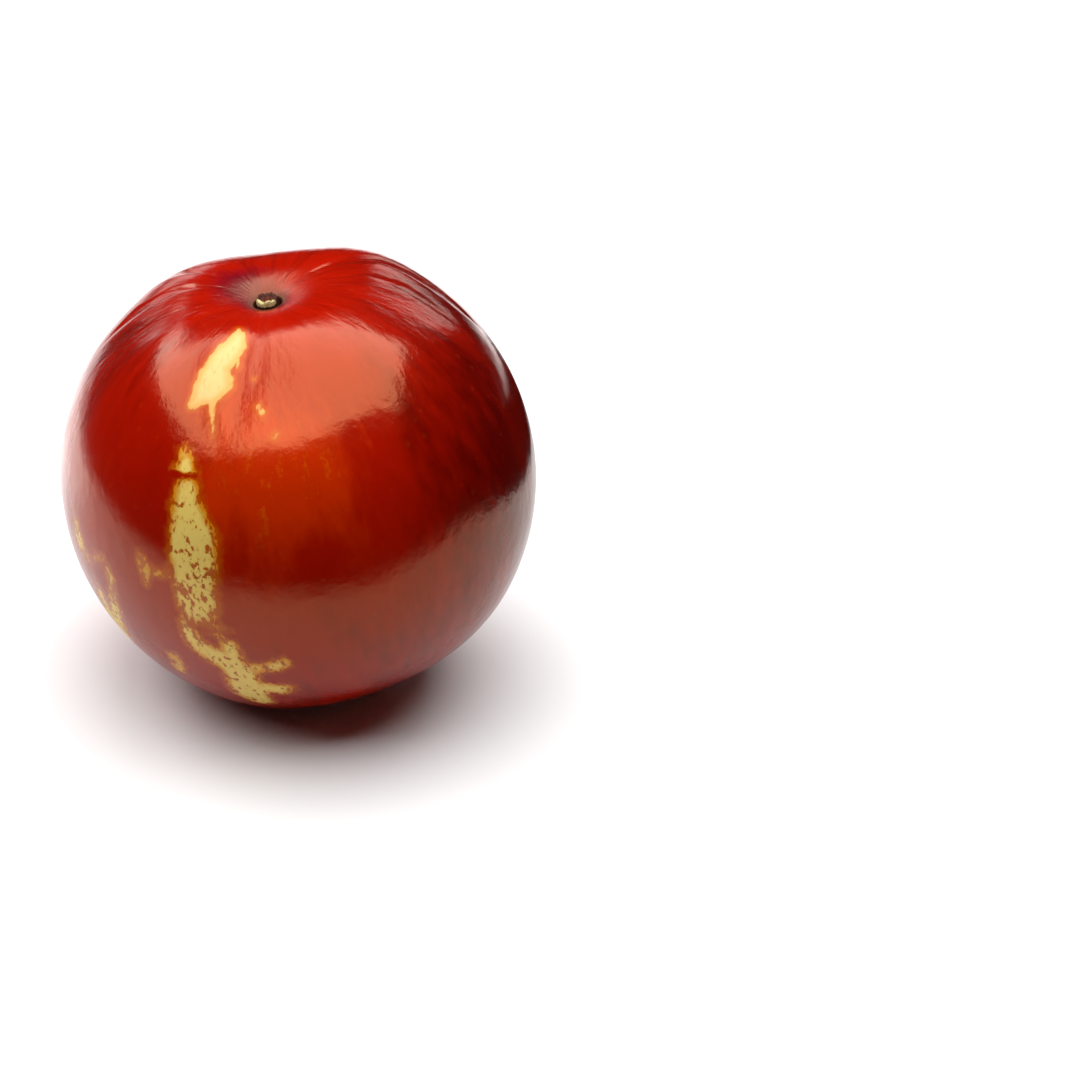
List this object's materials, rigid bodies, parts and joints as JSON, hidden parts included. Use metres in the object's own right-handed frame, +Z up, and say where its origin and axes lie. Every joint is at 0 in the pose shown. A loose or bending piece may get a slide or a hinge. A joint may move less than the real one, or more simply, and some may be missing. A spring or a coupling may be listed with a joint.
{
  "type": "jujube",
  "caption": "Whole fresh jujube fruit, nearly round with four-lobed shoulders, a shallow stalk hollow with a broken stalk stub, and a small flat spot to stand on.",
  "frame": {"origin": "on the surface that the fruit stands on, under the middle of its width", "axes": "+Z up. The stalk end leans 8.8 degrees to -X, and -Y faces the viewer of the picture"},
  "size_m": [0.0398, 0.0402, 0.0365],
  "materials": {
    "skin": "glossy, waxy red skin with yellow streaks along the meridians and fine dots",
    "stalk": "dry, torn, corky stalk end"
  },
  "bodies": {
    "root": {"fruit": "skin", "stalk_stub": "stalk"}
  },
  "joints": []
}
